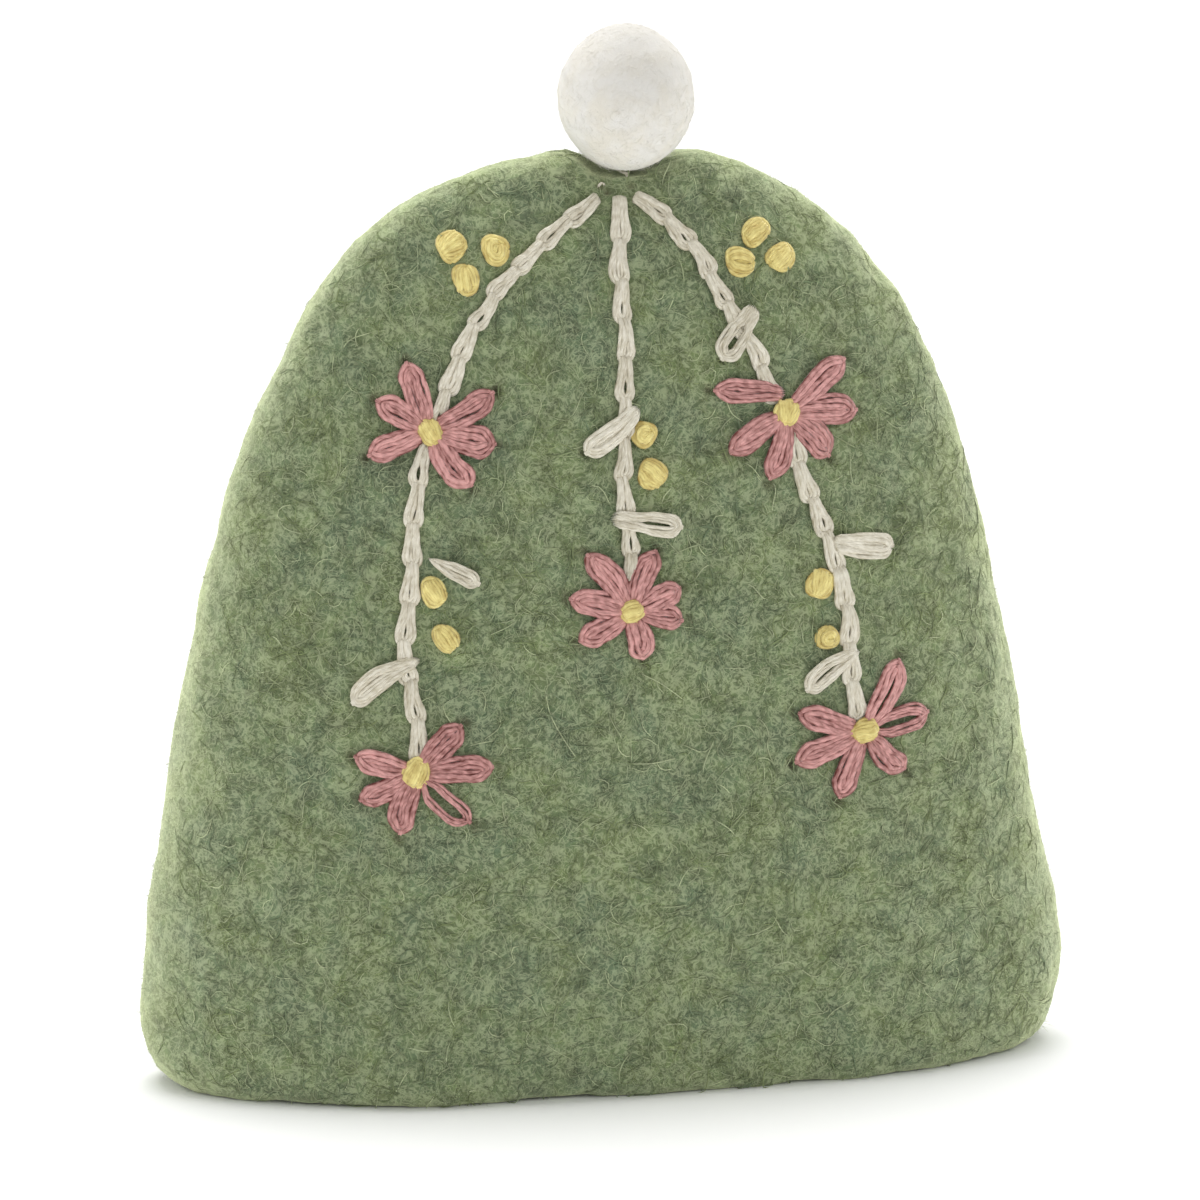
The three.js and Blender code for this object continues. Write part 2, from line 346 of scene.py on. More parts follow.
def loose_green_wool():
    """Single wool fibres of the marl: greyish, yellowish and mid green, some of them nearly white.

    They give the eye a soft, hairy surface, whose fibres are darker in the thin places of the felt.
    """
    felt = bpy.context.scene.cosy_felt
    material, add = new_material("loose_wool_marled_green")
    mm = millimetres(add)
    tint = add("Attribute", give="Fac", attribute_name="tint")
    other = add("Math", {0: tint, 1: 37.0}, operation="MULTIPLY")  # a second chance value of a fibre
    other = add("Math", {0: other}, operation="FRACT")
    hue = add("Math", {0: blotches(add, mm), 1: 7.0, 2: other}, operation="MULTIPLY_ADD")
    hue = add("MapRange", {"Value": hue, "From Min": 3.2, "From Max": 4.8})
    wool = add("Mix", {0: hue, 6: (*felt.grey_fibre, 1), 7: (*felt.yellow_fibre, 1)}, 2, data_type="RGBA")
    dark = add("MapRange", {"Value": tint, "From Min": 0.0, "From Max": 0.5, "To Min": 0.4, "To Max": 0.0})
    wool = add("Mix", {0: dark, 6: wool, 7: (*felt.mid_green, 1)}, 2, data_type="RGBA")
    light = add("MapRange", {"Value": tint, "From Min": 0.72, "From Max": 1.0, "To Max": 1.0})
    wool = add("Mix", {0: light, 6: wool, 7: (*felt.pale_fibre, 1)}, 2, data_type="RGBA")
    # Less light comes back through the thin places of the felt.
    wool = add("VectorMath", {0: wool, "Scale": tufts(add, mm, 0.7, 1.22)}, operation="SCALE")
    # A fibre is too thin to shade by itself: it takes most of its shading from the felt it lies on.
    out = add("Attribute", give="Vector", attribute_name="out_of_felt")
    out = add("VectorTransform", {0: out}, vector_type="NORMAL", convert_from="OBJECT", convert_to="WORLD")
    own = add("NewGeometry", give="Normal")
    lie = add("VectorMath", {0: out, 1: (4, 4, 4), 2: own}, operation="MULTIPLY_ADD")
    lie = add("VectorMath", {0: lie}, operation="NORMALIZE")
    matt = {"Base Color": wool, "Normal": lie, "Roughness": 0.9, "Specular IOR Level": 0.2}
    through = add("BsdfTranslucent", {"Color": wool, "Normal": lie})
    both = add("MixShader", {0: 0.3, 1: add("BsdfPrincipled", matt), 2: through})
    bloom = add("BsdfSheen", {"Color": (*felt.bloom, 1), "Roughness": felt.bloom_spread, "Normal": lie})
    add("OutputMaterial", {"Surface": add("AddShader", {0: both, 1: bloom})})
    return material


def loose_white_wool():
    """Single fibres of undyed wool, which give the eye a faint halo, a hair lighter here and there."""
    felt = bpy.context.scene.cosy_felt
    material, add = new_material("loose_wool_undyed")
    tint = add("Attribute", give="Fac", attribute_name="tint")
    wool = add("Mix", {0: tint, 6: (*felt.ball_warm, 1), 7: (*felt.ball_white, 1)}, 2, data_type="RGBA")
    soft = add("BsdfPrincipled", {"Base Color": wool, "Roughness": 0.75, "Specular IOR Level": 0.3})
    add("OutputMaterial", {"Surface": soft})
    return material


def white_felt():
    """A needle-dense ball of undyed wool, which gives the eye a smooth, chalky, warm white."""
    felt = bpy.context.scene.cosy_felt
    material, add = new_material("felted_undyed_wool")
    mm = millimetres(add)
    cloud = add("TexNoise", {"Vector": mm, "Scale": 0.35, "Detail": 4.0})
    warm = add("MapRange", {"Value": cloud, "From Min": 0.4, "From Max": 0.62})
    colour = add("Mix", {0: warm, 6: (*felt.ball_white, 1), 7: (*felt.ball_warm, 1)}, 2, data_type="RGBA")
    # Painted shade: the ball's top is drawn a little greyer, so the strong light from above doesn't wash it
    # out.
    grey = {"Value": add("SeparateXYZ", {0: mm}, "Z"), "From Min": 104.0, "From Max": 112.5, "To Max": 0.8}
    colour = add("Mix", {0: add("MapRange", grey), 6: colour, 7: (*felt.ball_top_shade, 1)}, 2, data_type="RGBA")
    curls = curly_fibres(add, mm, 1.4, 2.0, 1.6, 0.05)
    grain = add("TexNoise", {"Vector": mm, "Scale": 3.5, "Detail": 3.0})
    height = add("Math", {0: curls, 1: 0.5, 2: grain}, operation="MULTIPLY_ADD")
    chalky = {
        "Base Color": colour,
        "Normal": add("Bump", {"Height": height, "Strength": 0.5, "Distance": 0.06 * MM}),
        "Roughness": 0.95,
        "Specular IOR Level": 0.1,
        "Subsurface Weight": 0.2,
        "Subsurface Radius": (0.001, 0.001, 0.0009),
        "Subsurface Scale": 1.0,
    }
    add("OutputMaterial", {"Surface": add("BsdfPrincipled", chalky)})
    return material


def stranded_cotton(name, light, shade, twist, seam_shade, streak_highlights, gloss):
    """Stranded embroidery cotton, which gives the eye soft two-ply strands with a low gloss.

    shade is the colour of its deeper tones and of its painted shade, as sRGB hex. twist, seam_shade and
    streak_highlights are how strongly the painted shade between plies, the painted shade between strands and
    the painted highlights of single filaments are drawn.
    """
    material, add = new_material(name)
    mm = millimetres(add)
    # The map gives millimetres along a strand and turns round it. Two plies make one full twist in
    # about two millimetres.
    strand = add("UVMap", uv_map="strand")
    along, around = add("SeparateXYZ", {0: strand}).node.outputs[:2]
    turned = add("Math", {0: along, 1: 0.45, 2: around}, operation="MULTIPLY_ADD")
    wave = add("Math", {0: turned, 1: 4 * math.pi}, operation="MULTIPLY")
    wave = add("Math", {0: wave}, operation="SINE")
    ply = add("MapRange", {"Value": wave, "From Min": -0.6, "From Max": 1.0})
    soft = add("TexNoise", {"Vector": mm, "Scale": 1.2, "Detail": 3.0})
    tint = add("Attribute", give="Fac", attribute_name="tint")
    # Filaments lie along the strand, about ten round it, and each strand has its own. Their pale streaks are
    # painted highlights.
    drawn = add("Mapping", {"Vector": strand, "Scale": (1.3, 10.0, 1.0)})
    drawn = add("VectorMath", {0: tint, 1: (40, 17, 5), 2: drawn}, operation="MULTIPLY_ADD")
    fine = add("TexNoise", {"Vector": drawn, "Scale": 1.0, "Detail": 2.0})
    # Painted shade: a strand is drawn darker low on its sides, where it lies against the next.
    low = add("Math", {0: around, 1: 0.25}, operation="SUBTRACT")
    low = add("Math", {0: low}, operation="ABSOLUTE")
    low = add("MapRange", {"Value": low, "From Min": 0.07, "From Max": 0.2, "To Max": seam_shade})
    # The painted shade between strands is stronger in some patches than in others.
    patchy_seam_shade = add("MapRange", {"Value": soft, "From Min": 0.35, "From Max": 0.62, "To Min": 1.6, "To Max": 0.5})
    low = add("Math", {0: low, 1: patchy_seam_shade}, operation="MULTIPLY")
    depth = add("Math", {0: tint, 1: 0.35, 2: soft}, operation="MULTIPLY_ADD")
    depth = add("MapRange", {"Value": depth, "From Min": 0.95, "From Max": 0.35, "To Max": 0.6})
    depth = add("Math", {0: depth, 1: low}, operation="ADD")
    # Painted shade and highlight: the colour is lighter on each ply's crest and darker between plies.
    lit = add("Math", {0: ply, 1: -twist, 2: depth}, operation="MULTIPLY_ADD")
    lit = add("Math", {0: lit, 1: twist * 0.5 + streak_highlights * 0.5}, operation="ADD")
    lit = add("Math", {0: fine, 1: -streak_highlights, 2: lit}, operation="MULTIPLY_ADD")
    lit = add("MapRange", {"Value": lit, "From Min": 0.0, "From Max": 1.0})
    height = add("Math", {0: fine, 1: 0.6, 2: wave}, operation="MULTIPLY_ADD")
    glossy = {
        "Base Color": add("Mix", {0: lit, 6: (*light, 1), 7: linear(shade)}, 2, data_type="RGBA"),
        "Normal": add("Bump", {"Height": height, "Strength": 0.5, "Distance": 0.05 * MM}),
        "Roughness": gloss,
        "Specular IOR Level": 0.4,
        "Sheen Weight": 0.3,
        "Sheen Roughness": 0.4,
    }
    add("OutputMaterial", {"Surface": add("BsdfPrincipled", glossy)})
    return material


class Strands:
    """Strands of yarn, thread or wool that are joined in one mesh."""

    def __init__(self):
        self.points, self.triangles, self.corners, self.tints, self.ways = [], [], [], [], []
        self.count = 0

    def add(self, paths, radii, away, sides, tints):
        """Adds closed strands that have the same number of points, in metres.

        paths has a row of points for each strand, from tip to tip, radii the thickness at each
        point, away the way out of the felt there, and tints a lightness for each strand.
        """
        paths = np.asarray(paths, float)
        strands, rings, _ = paths.shape
        radii = np.broadcast_to(radii, (strands, rings))[:, 1:-1]
        away = np.broadcast_to(away, paths.shape)
        along = unit(np.gradient(paths, axis=1))
        across = unit(np.cross(along, away))
        over = np.cross(across, along)
        turn = (np.arange(sides) / sides * 2 * math.pi)[:, None]
        ring = np.cos(turn) * across[:, 1:-1, None] + np.sin(turn) * over[:, 1:-1, None]
        ring = paths[:, 1:-1, None] + radii[:, :, None, None] * ring
        points = np.concatenate([ring.reshape(strands, -1, 3), paths[:, [0, -1]]], axis=1)
        size = points.shape[1]
        triangles, corners = [], []  # a corner is (ring, side), for the map
        end, last = rings - 1, (rings - 3) * sides
        for j in range(sides):
            k = (j + 1) % sides
            for i in range(rings - 3):
                a, b = i * sides + j, (i + 1) * sides + j
                c, d = (i + 1) * sides + k, i * sides + k
                here, there = i + 1, i + 2
                triangles += [(a, b, c), (a, c, d)]
                corners += [((here, j), (there, j), (there, j + 1))]
                corners += [((here, j), (there, j + 1), (here, j + 1))]
            triangles += [(size - 2, j, k), (size - 1, last + k, last + j)]
            corners += [((0, j + 0.5), (1, j), (1, j + 1)), ((end, j + 0.5), (end - 1, j + 1), (end - 1, j))]
        triangles, corners = np.array(triangles), np.array(corners, float)
        offsets = self.count + np.arange(strands)[:, None, None] * size
        steps = np.linalg.norm(np.diff(paths, axis=1), axis=2)
        run = np.concatenate([np.zeros((strands, 1)), np.cumsum(steps, axis=1)], axis=1)
        uv = np.empty((strands, len(triangles), 3, 2))
        uv[..., 0] = run[:, corners[:, :, 0].astype(int)] / MM
        uv[..., 1] = corners[:, :, 1] / sides
        ways = np.concatenate([np.repeat(away[:, 1:-1], sides, axis=1), away[:, [0, -1]]], axis=1)
        self.points.append(points.reshape(-1, 3))
        self.triangles.append((triangles + offsets).reshape(-1, 3))
        self.corners.append(uv.reshape(-1, 2))
        self.tints.append(np.repeat(np.broadcast_to(tints, strands), size))
        self.ways.append(ways.reshape(-1, 3))
        self.count += strands * size

    def lay(self, front, line, lift, thick, tint, sides=7):
        """Adds one strand that follows a line on the front and is lift above it, in millimetres."""
        path, up = front.above(line, lift)
        self.add([path], thick * MM, up[None], sides, tint)

    def finish(self, name, material, slot):
        """Makes the piece, and returns its object."""
        points = np.concatenate(self.points)
        triangles = np.concatenate(self.triangles)
        mesh = bpy.data.meshes.new(name)
        mesh.vertices.add(len(points))
        mesh.vertices.foreach_set("co", points.ravel())
        mesh.loops.add(triangles.size)
        mesh.loops.foreach_set("vertex_index", triangles.ravel())
        mesh.polygons.add(len(triangles))
        mesh.polygons.foreach_set("loop_start", np.arange(0, triangles.size, 3))
        mesh.update(calc_edges=True)
        mesh.polygons.foreach_set("use_smooth", np.ones(len(triangles), bool))
        mesh.uv_layers.new(name="strand").data.foreach_set("uv", np.concatenate(self.corners).ravel())
        mesh.attributes.new("tint", "FLOAT", "POINT").data.foreach_set("value", np.concatenate(self.tints))
        way = mesh.attributes.new("out_of_felt", "FLOAT_VECTOR", "POINT")
        way.data.foreach_set("vector", np.concatenate(self.ways).ravel())
        mesh.materials.append(material)
        return place_piece(bpy.data.objects.new(name, mesh))


def place_piece(obj):
    """Puts a finished piece in the scene and on the body that carries the cosy."""
    if obj.name not in bpy.context.scene.collection.objects:
        bpy.context.scene.collection.objects.link(obj)
    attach(obj, "root")
    return obj


def unit(vectors):
    """Scales vectors to a length of 1."""
    return vectors / np.maximum(np.linalg.norm(vectors, axis=-1, keepdims=True), 1e-12)


def heading(degrees):
    """The direction on the front that is so far anticlockwise from the right."""
    turn = math.radians(degrees)
    return np.array([math.cos(turn), math.sin(turn)])


def left_of(way):
    """The direction on the front to the left of another."""
    return np.array([-way[1], way[0]])


def vertex_rows(mesh, value):
    """A value of each vertex of a mesh, such as its place, as rows of three."""
    rows = np.empty(len(mesh.vertices) * 3)
    mesh.vertices.foreach_get(value, rows)
    return rows.reshape(-1, 3)


def earlier_piece(name, later):
    """A piece that an operator builds on."""
    piece = bpy.data.objects.get(name)
    if piece is None:
        raise RuntimeError(f"the {name} comes before the {later}")
    return piece


def ruffle(piece, texture, size, depth, strength):
    """Swells and dips a piece by clouds size millimetres wide."""
    clouds = bpy.data.textures.new(texture, "CLOUDS")
    clouds.noise_scale = size * MM
    clouds.noise_depth = depth
    uneven = piece.modifiers.new(texture, "DISPLACE")
    uneven.texture = clouds
    uneven.texture_coords = "LOCAL"
    uneven.strength = strength
    bpy.ops.object.modifier_apply(modifier=uneven.name)


def smooth_line(points, step):
    """A smooth line through the points, as points about step apart."""
    points = np.array(points, float)
    ends = np.concatenate([[2 * points[0] - points[1]], points, [2 * points[-1] - points[-2]]])
    t = np.linspace(0, 1, 24, endpoint=False)[:, None]
    line = []
    for a, b, c, d in zip(ends, ends[1:], ends[2:], ends[3:]):
        square, cube = 2 * a - 5 * b + 4 * c - d, 3 * b - a - 3 * c + d
        line.append(0.5 * (2 * b + (c - a) * t + square * t**2 + cube * t**3))
    line = np.concatenate([*line, points[-1:]])
    run = np.concatenate([[0], np.cumsum(np.linalg.norm(np.diff(line, axis=0), axis=1))])
    at = np.linspace(0, run[-1], max(2, round(run[-1] / step) + 1))
    return np.stack([np.interp(at, run, line[:, k]) for k in range(2)], axis=1)


def chain_points(stem):
    """The holes of a chain-stitched stem, a stitch apart."""
    return smooth_line(STEMS[stem], bpy.context.scene.cosy_yarn.stitch_length / MM)


def petal_line(middle, direction, length, aside=0.0):
    """Where a petal leaves the felt near the middle of its flower, and its tip."""
    way, middle = heading(direction), np.array(middle)
    return middle + way * PETAL_START + left_of(way) * aside, middle + way * length


def stitch_marks():
    """Where the stitches press the felt: across, up, reach, depth and how much painted shade darkens the
    dent.
    """
    marks = []
    for stem in STEMS:
        marks += [(*p, 1.3, 0.25, 0.25) for p in smooth_line(STEMS[stem], 0.8)]
        marks += [(*p, 0.45, 0.35, 0.7) for p in chain_points(stem)]
    for middle, petals in FLOWERS:
        marks.append((*middle, 1.6, 0.5, 0.6))
        for direction, length, *unusual in petals:
            root, tip = petal_line(middle, direction, length, *unusual[2:])
            marks += [(*(root + (tip - root) * k), 1.3, 0.22, 0.3) for k in (0.2, 0.4, 0.6, 0.8)]
            marks.append((*(tip + unit(tip - root) * 0.4), 0.8, 0.9, 1.0))
    for root, tip, *_ in LEAVES:
        root, tip = np.array(root), np.array(tip)
        marks += [(*(root + (tip - root) * k), 1.2, 0.2, 0.2) for k in (0.2, 0.5, 0.8)]
        marks.append((*(tip + unit(tip - root) * 0.25), 0.45, 0.8, 0.9))
    marks += [(*middle, width * 0.65, 0.35, 0.45) for middle, width, *_ in KNOTS]
    return np.array([*marks, *THREAD_HOLES])


class Front:
    """The front of the cover, to lay stitches on."""

    # The grid on which its depth is kept, in millimetres.
    STEP = 0.4
    ACROSS, UP = (-46, 46), (2, 97.6)

    def __init__(self):
        cover = earlier_piece("cover", "stitches")
        tree = BVHTree.FromObject(cover, bpy.context.evaluated_depsgraph_get())
        self.x, self.z = np.arange(*self.ACROSS, self.STEP), np.arange(*self.UP, self.STEP)
        depth = np.zeros((len(self.z), len(self.x)))
        for i, z in enumerate(self.z):
            for j, x in enumerate(self.x):
                hit = tree.ray_cast(Vector((x, -60, z)) * MM, Vector((0, 1, 0)), 60 * MM)[0]
                if hit is not None:
                    depth[i, j] = hit.y / MM
        for _ in range(2):  # yarn bridges the felt's smallest hollows
            wide = np.pad(depth, 1, mode="edge")
            rows, columns = depth.shape
            depth = sum(wide[i : i + rows, j : j + columns] for i in range(3) for j in range(3)) / 9
        self.depth = depth
        up, side = np.gradient(depth, self.STEP)
        self.normal = unit(np.stack([side, -np.ones_like(side), up], axis=-1))

    def above(self, line, lift):
        """Gives the points that are lift above a line on the felt, and the way out of the felt there."""
        x, z = line.T
        i = np.clip((z - self.z[0]) / self.STEP, 0, len(self.z) - 1.001)
        j = np.clip((x - self.x[0]) / self.STEP, 0, len(self.x) - 1.001)
        m, n = i.astype(int), j.astype(int)
        u, v = i - m, j - n
        corners = (((1 - u) * (1 - v), m, n), (u * (1 - v), m + 1, n))
        corners += (((1 - u) * v, m, n + 1), (u * v, m + 1, n + 1))
        depth = sum(part * self.depth[a, b] for part, a, b in corners)
        normal = unit(sum(part[:, None] * self.normal[a, b] for part, a, b in corners))
        return (np.stack([x, depth, z], axis=1) + normal * lift[:, None]) * MM, normal


def begin_sewing(seed):
    """Gives the front to sew on, strands to sew with and a source of small chances."""
    return Front(), Strands(), np.random.default_rng(seed)


# How a loop's strands lie along it: where, how far they are spread, and the loop's height over
# the felt, as shares of the length, the width and the height. Then the loop's height, how thick a
# strand is for the room it has, and how round the loop begins, the first and last in millimetres.
LOOPS = {
    "petal": (
        (0, 0.12, 0.3, 0.5, 0.85, 1),
        (0.5, 0.66, 0.88, 0.98, 1, 0.82),
        (0.5, 0.9, 1.1, 1, 0.8, 0.3),
        *(0.9, 0.74, 0.3),
    ),
    "chain": (
        (0, 0.08, 0.2, 0.35, 0.55, 0.72, 0.86, 1),
        (0.6, 0.66, 0.74, 0.86, 0.97, 1, 0.92, 0.66),
        (0.2, 0.9, 1.15, 1.1, 1.0, 0.85, 0.5, 0.0),
        *(0.62, 0.82, 0.12),
    ),
    "leaf": (
        (0, 0.07, 0.3, 0.6, 0.85, 1),
        (0.8, 1, 1, 1, 1, 0.9),
        (0.5, 1.15, 1.15, 1, 0.8, 0.4),
        *(0.95, 0.82, 0.3),
    ),
}


def sew_loop(strands, front, start, end, kind, width, spread, rng, gap, gap_from, broad=1.0):
    """Sews a loop of side-by-side strands out of one hole and round to the same hole.

    width is its most, spread is the number of strands in a side, gap the share of the width that
    stays open between the sides, gap_from where the opening begins, and broad how wide a leaf
    starts.
    """
    start, end = np.array(start, float), np.array(end, float)
    length = np.linalg.norm(end - start)
    way = (end - start) / length
    thick = width * (1 - gap) / 2 / spread
    where, packing, rise, height, fullness, rounding = LOOPS[kind]
    t = np.linspace(0, 1, 16)
    # Points are closer together towards the tip, and in a chain stitch towards both ends.
    s = 0.5 - 0.5 * np.cos(math.pi * t) if kind == "chain" else 1 - (1 - t) ** 1.7
    cap = np.sqrt(np.maximum(0, 1 - np.maximum(0, (s - 0.86) / 0.14) ** 2))
    if kind == "petal":
        cap = np.maximum(0, 1 - np.maximum(0, (s - 0.72) / 0.28) ** 2) ** 0.55  # a longer nose
    pack = np.interp(s, where, packing) * np.interp(s, (0, 0.45), (broad, 1))
    opening = np.interp(s, (gap_from, gap_from + 0.12, 0.95, 1), (0, 1, 1, 0.4))
    bend = rng.normal(0, 0.04) * length
    for k in range(spread):
        reach = length - thick * (spread - 1 - k + 0.5)
        from_root = rounding * ((k + 0.5) / spread) ** 2
        across = (thick * (k + 0.5) * pack + width * gap / 2 * opening) * cap
        along = from_root + s * (reach - from_root)
        along = np.concatenate([along, along[::-1][1:]])
        across = np.concatenate([across, -across[::-1][1:]])
        share = along / length
        arch = np.sin(share * math.pi)
        # Each side of a strand wanders by itself, and now and then climbs over its neighbour.
        sway = rng.uniform(-1, 1, (2, 5))[(np.arange(len(along)) >= len(s)).astype(int)].T
        across = across + arch * (bend + 0.08 * sway[0])
        across = across + thick * 0.2 * np.sin(share * (7 + 2 * sway[4]) + 9 * sway[1]) * arch
        lift = np.interp(share, where, rise) * height
        crown = 1 - 0.4 * ((k + 0.5 - spread * 0.45) / (spread * 0.6)) ** 2
        lift = lift * crown + 0.11 * np.sin(share * 6 + 9 * sway[2]) + 0.06 * sway[3] * arch
        if kind == "petal":  # the inner strands go down first at the tip
            lift = lift - 0.25 * (1 - k / spread) * np.clip((share - 0.76) / 0.12, 0, 1)
        line = start + np.outer(along, way) + np.outer(across, left_of(way))
        strands.lay(front, line, lift, thick * fullness * rng.uniform(0.92, 1.08), rng.uniform(0, 1))


def sew_tie(strands, front, tip, way, thick, rng):
    """The tiny stitch that holds a loop's end down."""
    s = np.linspace(-0.5, 0.16, 7)
    lift = 0.58 * np.sqrt(np.maximum(0, 1 - ((s + 0.2) / 0.42) ** 2)) - 0.12
    for offset in (-0.1, 0.1):
        line = tip + np.outer(s, way) + left_of(way) * offset
        strands.lay(front, line, lift, thick, rng.uniform(0.1, 0.8))


def wind_knot(strands, front, middle, width, length, kind, direction, base, rng):
    """Winds a French knot: a rim of strands round a low dome, and turns that lie across the dome.

    base is how many millimetres above the felt it sits.
    """
    half = np.array([length, width]) / 2
    way = heading(direction)
    uneven = rng.uniform(0, 2 * math.pi, 2)

    def wind(spots, above, thick):
        """Lays one strand over the dome, with its two ends tucked in."""
        dome = np.maximum(1 - ((np.abs(spots) / half) ** 2.3).sum(axis=1), 0) ** 0.5
        tuck = np.ones(len(spots))
        tuck[[0, -1]], tuck[[1, -2]] = 0.35, 0.85
        lift = (0.95 * dome + above + base) * tuck - 0.05
        line = middle + np.outer(spots[:, 0], way) + np.outer(spots[:, 1], left_of(way))
        strands.lay(front, line, lift, thick, rng.uniform(0, 1))

    for share, above, thick in ((0.8, -0.3, 0.26), (0.86, -0.1, 0.27), (0.7, -0.22, 0.27), (0.5, -0.3, 0.27)):
        around = rng.uniform(0, 2 * math.pi) + np.linspace(0, 2.1 * math.pi, 24)
        lobes = 1 + 0.06 * np.sin(2 * around + uneven[0]) + 0.06 * np.sin(3 * around + uneven[1])
        spots = np.stack([np.cos(around), np.sin(around)], axis=1)
        spots = np.sign(spots) * np.abs(spots) ** 0.88 * (share * lobes)[:, None] * half
        wind(spots, above, thick)
    run = np.linspace(0, 1, 13)
    pinch = 0.7 + 0.3 * np.sin(math.pi * run) ** 0.6  # the strands draw together at the ends
    for line, spread, above in (*TURNS[kind], UNDER_TURN):
        line = smooth_line(np.array(line) * half, 0.2)
        line = np.stack([np.interp(run, np.linspace(0, 1, len(line)), line[:, k]) for k in range(2)], axis=1)
        out = left_of(unit(np.gradient(line, axis=0)).T).T
        for k in range(spread):
            offset = (k - (spread - 1) / 2) * 0.3
            wind(line + out * (offset * pinch)[:, None], above * 1.6 + rng.normal(0.06, 0.03), 0.24)


def surface_samples(obj, count, weight, rng):
    """Scatters points on a piece, as many in each place as weight(points, normals) asks."""
    mesh = obj.data
    mesh.calc_loop_triangles()
    triangles = np.empty(len(mesh.loop_triangles) * 3, int)
    mesh.loop_triangles.foreach_get("vertices", triangles)
    a, b, c = vertex_rows(mesh, "co")[triangles.reshape(-1, 3).T]
    cross = np.cross(b - a, c - a)
    normal = unit(cross)
    chance = np.linalg.norm(cross, axis=1) * weight((a + b + c) / 3, normal)
    pick = rng.choice(len(chance), count, p=chance / chance.sum())
    u, v = rng.random((2, count, 1))
    u, v = np.where(u + v > 1, 1 - u, u), np.where(u + v > 1, 1 - v, v)
    return a[pick] + u * (b[pick] - a[pick]) + v * (c[pick] - a[pick]), normal[pick]


def outside_patches(points, normals):
    """How many fibres a place has: patchy on the outside, and none inside or under the hem."""
    inner = (np.abs(points[:, 1]) < 14 * MM) & (normals[:, 1] * points[:, 1] < 0)
    patchy = np.array([noise.noise(Vector(p) / (1.6 * MM)) for p in points])
    return np.where((normals[:, 2] < -0.6) | inner, 0.0, np.clip(0.85 + 1.6 * patchy, 0.1, 2))


def away_from_stitches(points):
    """Tells which points aren't under the yarn, through which fibres would poke."""
    flat, clear = points[:, [0, 2]] / MM, np.ones(len(points), bool)
    for x, z, reach, *_ in stitch_marks():
        if reach > 1:  # the smaller marks are single holes
            clear &= ((flat - (x, z)) ** 2).sum(axis=1) >= reach**2
    return clear | (points[:, 1] >= 0)


def grow_fibres(strands, surface, roots, normals, lengths, rises, widths, points, standing, tints, rng):
    """Grows single wool fibres that curl along a surface, and of which some stand up from it.

    surface is the piece as a BVH tree. points is how many points a fibre has, and standing the share
    that end in the air.
    """
    count = len(roots)
    across = unit(np.cross(normals, rng.normal(size=(count, 3))))
    over = np.cross(normals, across)
    course = rng.uniform(0, 2 * math.pi, count)
    bend = rng.normal(0, 0.7, count) * np.clip(1.6 * MM / lengths, 0.5, 1)  # radians a millimetre
    change = rng.normal(0, 0.45, count)
    step = lengths / (points - 1)
    arch = np.sin(np.linspace(0, math.pi, points))
    stray = rng.random(count) < standing
    path, high, spot = np.empty((count, points, 3)), np.empty((count, points)), roots.copy()
    for i in range(points):
        share = i / (points - 1)
        rise = np.where(stray, rises * 1.6 * share**1.4, rises * arch[i])
        path[:, i], high[:, i] = spot, rise - 0.02 * MM
        way = np.cos(course)[:, None] * across + np.sin(course)[:, None] * over
        way = way * np.where(stray, 1 - 0.6 * share, 1)[:, None]
        spot = spot + way * step[:, None]
        course = course + (bend + change * (i - points / 2)) * step / MM
    # Where the felt turns away, a fibre follows it round.
    turns = np.abs(normals[:, 1]) < 0.9
    path[~turns] += normals[~turns][:, None] * high[~turns][..., None]
    for n in np.flatnonzero(turns):
        for i in range(points):
            near, out, _, _ = surface.find_nearest(path[n, i])
            path[n, i] = near + out * high[n, i]
    path[:, :, 2] = np.maximum(path[:, :, 2], 0.1 * MM)  # none goes into the table
    taper = 1 - 0.5 * np.linspace(-1, 1, points) ** 2
    strands.add(path, (widths / 2)[:, None] * taper, normals[:, None], 3, tints)


def colour_prop(name, description, value):
    """A colour that a user may change, from an sRGB hex value."""
    return bpy.props.FloatVectorProperty(
        name=name, description=description, subtype="COLOR", default=linear(value)[:3], min=0, max=1
    )


def length_prop(name, description, value):
    """A length that a user may change, in metres."""
    return bpy.props.FloatProperty(name=name, description=description, unit="LENGTH", default=value, min=0)


def share_prop(name, description, value):
    """A share that a user may change, from 0 to 1."""
    return bpy.props.FloatProperty(
        name=name, description=description, subtype="FACTOR", default=value, min=0, max=1
    )


def angle_prop(name, description, value):
    """An angle that a user may change, from degrees."""
    return bpy.props.FloatProperty(
        name=name, description=description, subtype="ANGLE", default=math.radians(value)
    )


